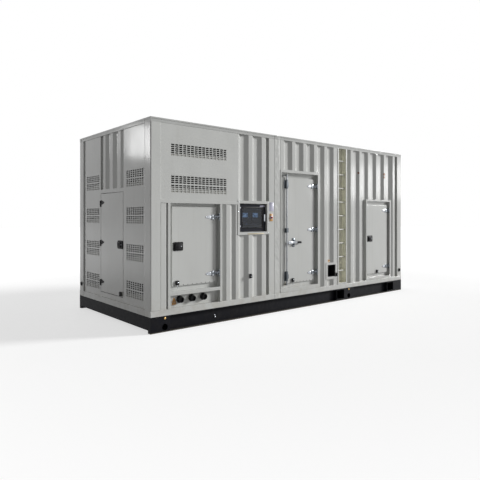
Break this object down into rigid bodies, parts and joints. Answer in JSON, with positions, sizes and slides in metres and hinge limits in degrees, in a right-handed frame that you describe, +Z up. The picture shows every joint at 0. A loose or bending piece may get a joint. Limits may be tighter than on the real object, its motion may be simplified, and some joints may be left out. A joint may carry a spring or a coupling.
{
  "type": "soundproof container diesel generator",
  "caption": "Containerised soundproof diesel generator: white corrugated housing on a black base, service doors, air grilles, glazed control cabinet and ladder.",
  "frame": {"origin": "middle of the base, on the ground", "axes": "+X along the length to the right seen from the control side, +Y to the rear, +Z up"},
  "size_m": [6.106, 2.486, 2.896],
  "materials": {
    "housing_paint": "gloss",
    "base_black": "satin",
    "recess_paint": "satin",
    "hinge_chrome": "polished",
    "galvanised": "satin",
    "floor_steel": "satin",
    "black_plastic": "matte",
    "cabinet_black": "satin",
    "console_grey": "satin",
    "dark_glass": "gloss",
    "stop_red": "gloss"
  },
  "bodies": {
    "housing": {"base_flanges": "base_black", "base_webs": "base_black", "lifting_pads": "base_black", "end_base_beams": "base_black", "fork_pocket_plates": "base_black", "fork_pocket_walls": "base_black", "base_cross_members": "base_black", "floor_plate": "floor_steel", "bottom_side_rails": "housing_paint", "bottom_end_rails": "housing_paint", "corner_posts": "housing_paint", "top_side_rails": "housing_paint", "top_end_rails": "housing_paint", "roof_panel": "housing_paint", "exhaust_outlets": "galvanised", "front_bay_panels": "housing_paint", "front_infill_panels": "housing_paint", "intake_panels": "housing_paint", "intake_grilles": "housing_paint", "intake_baffles": "galvanised", "left_door_frame": "housing_paint", "man_door_frame": "housing_paint", "right_door_frame": "housing_paint", "gland_plate": "housing_paint", "cable_glands": "black_plastic", "control_frame": "housing_paint", "control_console": "console_grey", "ladder_recess": "recess_paint", "ladder_rungs": "housing_paint", "inlet_box": "housing_paint", "emergency_stop": "stop_red", "fixed_hinges": "hinge_chrome", "end_panels": "housing_paint", "end_grilles": "housing_paint", "end_baffles": "galvanised", "end_upper_panels": "housing_paint", "end_door_frames": "housing_paint", "right_end_door_leaf": "housing_paint", "right_end_door_fittings": "black_plastic", "end_fixed_hinges": "black_plastic", "door_catches": "black_plastic", "rear_bay_panels": "housing_paint", "rear_infill_panels": "housing_paint", "rear_door_frames": "housing_paint", "rear_door_leaves": "housing_paint", "rear_door_fittings": "hinge_chrome"},
    "left_door": {"left_door_leaf": "housing_paint", "left_door_fittings": "hinge_chrome"},
    "man_door": {"man_door_leaf": "housing_paint", "man_door_fittings": "hinge_chrome", "man_door_bar_guides": "hinge_chrome"},
    "man_door_bar": {"man_door_lock_bar": "galvanised"},
    "right_door": {"right_door_leaf": "housing_paint", "right_door_fittings": "hinge_chrome"},
    "cabinet_door": {"control_door": "cabinet_black", "control_window": "dark_glass", "control_door_fittings": "hinge_chrome"},
    "left_end_door": {"left_end_door_leaf": "housing_paint", "left_end_door_fittings": "black_plastic"}
  },
  "joints": [
    {"name": "left_door_hinge", "type": "hinge", "parent": "housing", "child": "left_door", "pos_m": [-1.874, -1.209, 1.142], "axis": [0, 0, 1], "range_deg": [0, 115]},
    {"name": "man_door_hinge", "type": "hinge", "parent": "housing", "child": "man_door", "pos_m": [0.319, -1.209, 1.335], "axis": [0, 0, 1], "range_deg": [0, 135]},
    {"name": "man_door_bar_turn", "type": "hinge", "parent": "man_door", "child": "man_door_bar", "pos_m": [-0.436, -1.198, 1.124], "axis": [0, 0, -1], "range_deg": [0, 90]},
    {"name": "right_door_hinge", "type": "hinge", "parent": "housing", "child": "right_door", "pos_m": [2.588, -1.209, 1.115], "axis": [0, 0, 1], "range_deg": [0, 170]},
    {"name": "cabinet_door_hinge", "type": "hinge", "parent": "housing", "child": "cabinet_door", "pos_m": [-1.478, -1.186, 1.546], "axis": [0, 0, -1], "range_deg": [0, 90]},
    {"name": "left_end_door_hinge", "type": "hinge", "parent": "housing", "child": "left_end_door", "pos_m": [-3.021, 0.392, 1.146], "axis": [0, 0, -1], "range_deg": [0, 170]}
  ]
}
